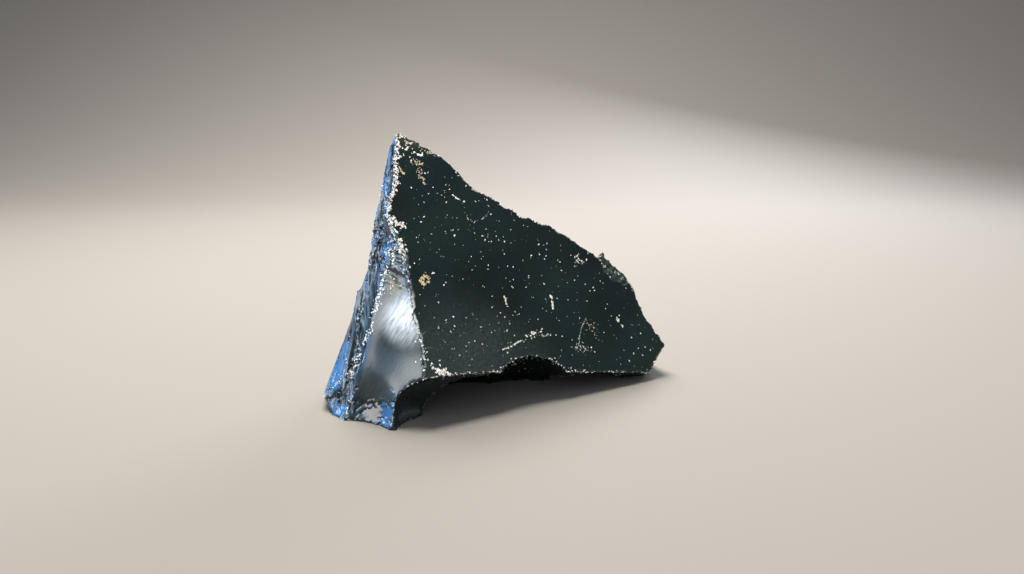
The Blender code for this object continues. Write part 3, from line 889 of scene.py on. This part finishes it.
def crushed_edges(tree, at, worn):
    """Edges are crushed too, in bites a millimetre across."""
    bite = add(tree, "TexNoise", {"Vector": at, "Scale": per(1.1), "Detail": 2.0})
    sides = {"Value": bite, "From Min": 0.48, "From Max": 0.60, "To Max": 0.6}
    bitten = add(tree, "MapRange", sides, interpolation_type="SMOOTHSTEP")
    sides = {"Value": worn, "From Min": 0.35, "From Max": 0.8}
    edge = add(tree, "MapRange", sides, interpolation_type="SMOOTHSTEP")
    return add(tree, "Math", {0: edge, 1: bitten}, operation="MULTIPLY")


def summed(tree, total, parts):
    """A value, with each of the others added to it by its part."""
    for value, part in parts:
        total = add(tree, "Math", {0: value, 1: part, 2: total}, operation="MULTIPLY_ADD")
    return total


def fine_relief(tree, grain, line, fibre, marks):
    """The splinters' fibres, the scoop's hairlines and a faint grain all over, in millimetres."""
    height = add(tree, "Math", {0: marks["rough"], 1: fibre}, operation="MULTIPLY")
    height = add(tree, "Math", {0: height, 1: 0.35}, operation="MULTIPLY")
    lines = add(tree, "Math", {0: marks["grey"], 1: line}, operation="MULTIPLY")
    height = summed(tree, height, ((lines, 0.025), (grain, 0.012)))
    return add(tree, "Bump", {"Height": height, "Strength": 1.0, "Distance": MM})


def volcanic_glass():
    """Obsidian as it was struck: black glass with a green cast, glossy where it broke clean, satin in the
    grey scoop, and pale and matt where it is splintered or its edges are crushed. Some of its colour is
    painted light: a highlight and a sheen in the grey scoop, a sheen low on the dark face, a reflection on
    the brow, a blue glint on the splinters' crests, and shade in the groove by the scoop."""
    material = bpy.data.materials.new("struck obsidian")
    material.use_nodes = True
    tree = material.node_tree
    shader = tree.nodes["Principled BSDF"]
    shader.inputs["IOR"].default_value = GLASS_IOR
    at = add(tree, "TexCoord", out="Object")
    marks = {mark: add(tree, "Attribute", out="Fac", attribute_name=mark) for mark in MARKS}
    grey, crest, worn = marks["grey"], marks["crest"], marks["worn"]
    # Dust and rubbed grain are a tenth of this in the stone. They are drawn coarser, to show at all.
    grain = add(tree, "TexNoise", {"Vector": at, "Scale": per(0.7), "Detail": 3.0})
    line, fibre = hairlines(tree, at), strip_fibres(tree, at)
    frost_and_highlight = frosting_and_painted_highlight(tree, at, line, grey)
    # Painted reflection: the brow is tinted grey-brown, grained, as if it mirrored a brown wall.
    painted_brow_reflection = add(tree, "Math", {0: marks["brow_reflection"], 1: grain}, operation="MULTIPLY")
    colour = linear("#0a1614")
    for cover, tint in (
        (clouds(tree, at), "#142321"),
        (navy_patches(tree, at), "#0f1e2a"),
        (green_arcs(tree, at, marks["green"]), "#34443d"),
        # Partly dust, partly painted sheen on the dark face.
        (dust_and_sheen_film(tree, at, grain), "#93a19e"),
        (painted_brow_reflection, "#5f5a50"),
        # Painted sheen along the grey scoop's hairlines.
        (painted_satin_sheen(tree, line, grey), "#9db0bd"),
        # Painted highlight: pale frost high in the grey scoop, frosted and rougher there too.
        (frost_and_highlight, "#eef2f0"),
        (earth_smudge(tree, at, grain), "#5d5a42"),
        # Crushed pale crests, tinted blue as a painted glint.
        (crushed_crests_and_painted_glints(tree, fibre, crest), "#a6c2da"),
        (crushed_edges(tree, at, worn), "#b3b8ae"),
    ):
        sides = {FACTOR: cover, UNDER: colour, OVER: linear(tint)}
        colour = add(tree, "Mix", sides, MIXED, data_type="RGBA")
    tree.links.new(colour, shader.inputs["Base Color"])
    gloss = summed(tree, 0.12, ((grey, 0.14), (crest, 0.25), (worn, 0.12), (frost_and_highlight, 0.35), (grain, 0.06)))
    tree.links.new(gloss, shader.inputs["Roughness"])
    # Painted shade: the groove by the scoop reflects less, so it looks dark.
    shine = summed(tree, 0.5, ((marks["groove_shade"], -0.4),))
    tree.links.new(shine, shader.inputs["Specular IOR Level"])
    tree.links.new(fine_relief(tree, grain, line, fibre, marks), shader.inputs["Normal"])
    return material


def crushed_glass():
    """Obsidian crushed to crumbs: white to straw, matt, with a little gloss left on each grain."""
    material = bpy.data.materials.new("crushed obsidian")
    material.use_nodes = True
    tree = material.node_tree
    shader = tree.nodes["Principled BSDF"]
    shader.inputs["IOR"].default_value = GLASS_IOR
    shader.inputs["Roughness"].default_value = 0.4
    yellow = add(tree, "Attribute", out="Fac", attribute_name="yellow")
    sides = {FACTOR: yellow, UNDER: linear("#f2f4f1"), OVER: linear("#cfb27c")}
    colour = add(tree, "Mix", sides, MIXED, data_type="RGBA")
    tree.links.new(colour, shader.inputs["Base Color"])
    return material


def pale_board():
    """A matt pale board, which runs up behind in one curve."""
    material = bpy.data.materials.new("pale board")
    material.use_nodes = True
    shader = material.node_tree.nodes["Principled BSDF"]
    shader.inputs["Base Color"].default_value = linear("#cfc9c2")
    shader.inputs["Roughness"].default_value = 0.9
    return material


def lay_floor():
    """The board's back edge is drawn up, and the bend is rounded."""
    bpy.ops.object.select_all(action="DESELECT")
    bpy.ops.mesh.primitive_plane_add(size=FLOOR_SIDE, location=(0.0, FLOOR_BACK - FLOOR_SIDE / 2, 0.0))
    floor = bpy.context.object
    floor.name = "floor"
    bpy.ops.object.transform_apply(location=True, rotation=True, scale=True)
    only(floor)
    back = max(vertex.co.y for vertex in floor.data.vertices)
    bpy.ops.object.mode_set(mode="EDIT")
    bpy.ops.mesh.select_all(action="DESELECT")
    bpy.ops.object.mode_set(mode="OBJECT")
    for edge in floor.data.edges:
        edge.select = all(floor.data.vertices[at].co.y > back - JOIN for at in edge.vertices)
    bpy.ops.object.mode_set(mode="EDIT")
    bpy.ops.mesh.select_mode(type="EDGE")
    bpy.ops.mesh.extrude_region_move(TRANSFORM_OT_translate={"value": (0.0, 0.0, FLOOR_RISE)})
    bpy.ops.object.mode_set(mode="OBJECT")
    bend = floor.modifiers.new("bend", "BEVEL")
    bend.width = FLOOR_BEND
    bend.segments = BEND_STEPS
    apply(floor, bend)
    bpy.ops.object.shade_smooth()
    floor.data.materials.append(pale_board())


def soft_light(name, at, towards, width, height, power, colour):
    """An area light at one place, turned to another, in metres."""
    data = bpy.data.lights.new(name, "AREA")
    data.shape = "RECTANGLE"
    data.size = width
    data.size_y = height
    data.energy = power
    data.color = linear(colour)[:3]
    light = bpy.data.objects.new(name, data)
    bpy.context.scene.collection.objects.link(light)
    light.location = at
    light.rotation_mode = "QUATERNION"
    light.rotation_quaternion = (Vector(towards) - Vector(at)).to_track_quat("-Z", "Y")
    return light


def set_stage():
    lay_floor()
    bpy.context.scene.view_settings.view_transform = "Standard"
    world = bpy.data.worlds.new("dim room")
    bpy.context.scene.world = world
    world.use_nodes = True
    air = world.node_tree.nodes["Background"]
    air.inputs["Color"].default_value = linear(ROOM_COLOUR)
    air.inputs["Strength"].default_value = ROOM_STRENGTH
    for values in ROOM_LIGHTS:
        soft_light(*values)


def light_glass(pieces):
    """The windows light these pieces and nothing else."""
    lit = bpy.data.collections.new("lit by the windows")
    for piece in pieces:
        lit.objects.link(piece)
    for values in WINDOWS:
        soft_light(*values).light_linking.receiver_collection = lit


def set_camera():
    data = bpy.data.cameras.new("camera")
    data.lens = LENS
    data.sensor_width = SENSOR
    data.clip_start = NEAREST_SEEN
    camera = bpy.data.objects.new("camera", data)
    bpy.context.scene.collection.objects.link(camera)
    camera.location = place(CAMERA_AT)
    camera.rotation_euler = (radians(90 - CAMERA_DIP), 0.0, 0.0)
    bpy.context.scene.camera = camera


def keep_in_box(chunk):
    """Nothing hangs below the flat foot or stands out of the solid's box."""
    flat = np.empty(len(chunk.data.vertices) * 3)
    chunk.data.vertices.foreach_get("co", flat)
    chunk.data.vertices.foreach_set("co", np.clip(flat.reshape(-1, 3), *np.array(cad_box)).ravel())
    chunk.data.update()


def well_inside(at):
    """Whether a crumb that lies here stays in the solid's box."""
    low, high = cad_box
    return all(a + CRUMB_MARGIN < b < c - CRUMB_MARGIN for a, b, c in zip(low, at, high))


def build_chunk():
    chunk = carve_chunk()
    even_skin(chunk)
    soften(chunk)
    wave_faces(chunk)
    worn = wear_edges(chunk)
    crest = splinter(chunk)
    points = points_of(chunk)
    depths = depths_below(points)
    keep(chunk, "worn", worn * (1 - CLEAN * in_clean_scars(points)))
    keep(chunk, "crest", crest)
    keep(chunk, "rough", rough_share(depths))
    keep(chunk, "grey", grey_share(chunk, points, depths))
    # Painted shade in the groove by the grey face.
    keep(chunk, "groove_shade", ramp(from_groove(points), *GROOVE_SHADE_REACH))
    # Where the brow's painted reflection goes.
    keep(chunk, "brow_reflection", share(depths, ("brow",), BROW_EDGE))
    keep(chunk, "green", green_share(chunk, points))
    thin_skin(chunk)
    keep_in_box(chunk)
    chunk.data.materials.clear()
    chunk.data.materials.append(volcanic_glass())
    only(chunk)
    bpy.ops.object.shade_smooth_by_angle(angle=radians(SMOOTH_TO))
    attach(chunk, "root")
    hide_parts(NODE)
    return chunk


def sight(x, y):
    """The way from the camera through a point of the frame."""
    reach = FRAME[0] * LENS / SENSOR
    ahead = Vector((x - FRAME[0] / 2, FRAME[1] / 2 - y, -reach))
    return (Matrix.Rotation(radians(90 - CAMERA_DIP), 3, "X") @ ahead).normalized()


def along_line(points, chance):
    """A point somewhere along a line drawn through the frame."""
    runs = [(Vector(a), Vector(b)) for a, b in zip(points, points[1:])]
    start, end = chance.choices(runs, weights=[(b - a).length for a, b in runs])[0]
    return start.lerp(end, chance.random())


def drawn_crumbs(tree, chance):
    """Crumbs along the named lines and over the dark face, where they are seen through the frame."""
    eye = place(CAMERA_AT)
    for _, points, count, stray, sizes, yellow in CRUMB_LINES:
        for _ in range(count):
            x, y = along_line(points, chance) + Vector((chance.gauss(0, stray), chance.gauss(0, stray)))
            hit, looks, _, _ = tree.ray_cast(eye, sight(x, y))
            if hit and well_inside(hit):
                size = chance.uniform(*sizes)
                yield hit, looks, size, min(max(chance.gauss(yellow, YELLOW_SPREAD), 0.0), 1.0)
    (left, top), (right, bottom) = DUST_FACE
    smallest, largest = DUST_SIZE
    for _ in range(DUST):
        through = sight(chance.uniform(left, right), chance.uniform(top, bottom))
        hit, looks, _, _ = tree.ray_cast(eye, through)
        if hit and well_inside(hit):
            size = smallest + (largest - smallest) * chance.random() ** 2
            yield hit, looks, size, chance.random() * DUST_YELLOW


def edge_crumbs(chunk, chance):
    """Crumbs on the worn edges all round."""
    kept = chunk.data.attributes["worn"].data
    vertices = chunk.data.vertices
    worn = [v.index for v in vertices if kept[v.index].value > EDGE_CRUMB_WORN and well_inside(v.co)]
    for at in chance.sample(worn, EDGE_CRUMBS):
        size = chance.uniform(*EDGE_CRUMB_SIZE)
        yield vertices[at].co, vertices[at].normal, size, chance.random() * EDGE_CRUMB_YELLOW


def crumb_places(chunk):
    """Where the crumbs lie, each (place, the way the skin looks there, size, how yellow)."""
    chance = Random(PLACE_SEED)
    tree = BVHTree.FromObject(chunk, bpy.context.evaluated_depsgraph_get())
    yield from drawn_crumbs(tree, chance)
    yield from edge_crumbs(chunk, chance)


def crumb_shapes():
    """A few crumbs, each knocked out of round its own way."""
    shapes = []
    for seed in range(CRUMB_SHAPES):
        bpy.ops.object.select_all(action="DESELECT")
        bpy.ops.mesh.primitive_ico_sphere_add(subdivisions=1, radius=MM)
        crumb = bpy.context.object
        bpy.ops.object.mode_set(mode="EDIT")
        bpy.ops.transform.vertex_random(offset=CRUMB_KNOCK * MM, uniform=1.0, normal=0.0, seed=seed)
        bpy.ops.object.mode_set(mode="OBJECT")
        shapes.append(crumb.data.copy())
        bpy.data.objects.remove(crumb)
    return shapes


def set_crumb(shape, chance, at, looks, size, yellow):
    """A copy of a crumb, turned and stretched its own way, set in the skin."""
    mesh = shape.copy()
    stretch = Matrix.Diagonal([chance.uniform(*ends) for ends in CRUMB_STRETCH])
    turn = looks.to_track_quat("Z", "Y").to_matrix() @ Matrix.Rotation(chance.uniform(0, pi), 3, "Z")
    shaped = (turn @ stretch @ Matrix.Scale(size, 3)).to_4x4()
    mesh.transform(Matrix.Translation(at + looks * size * MM * CRUMB_RISE) @ shaped)
    kept = mesh.attributes.new("yellow", "FLOAT", "POINT")
    kept.data.foreach_set("value", [yellow] * len(mesh.vertices))
    crumb = bpy.data.objects.new("crumb", mesh)
    bpy.context.scene.collection.objects.link(crumb)
    crumb.select_set(True)


def scatter_crumbs(chunk):
    """All the crumbs, joined in one piece."""
    shapes = crumb_shapes()
    chance = Random(SHAPE_SEED)
    bpy.ops.object.select_all(action="DESELECT")
    for values in crumb_places(chunk):
        set_crumb(chance.choice(shapes), chance, *values)
    crumbs = bpy.context.selected_objects[0]
    bpy.context.view_layer.objects.active = crumbs
    bpy.ops.object.join()
    crumbs.name = "crumbs"
    crumbs.data.materials.append(crushed_glass())
    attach(crumbs, "root")
    return crumbs


set_camera()
set_stage()
glass = build_chunk()
light_glass((glass, scatter_crumbs(glass)))
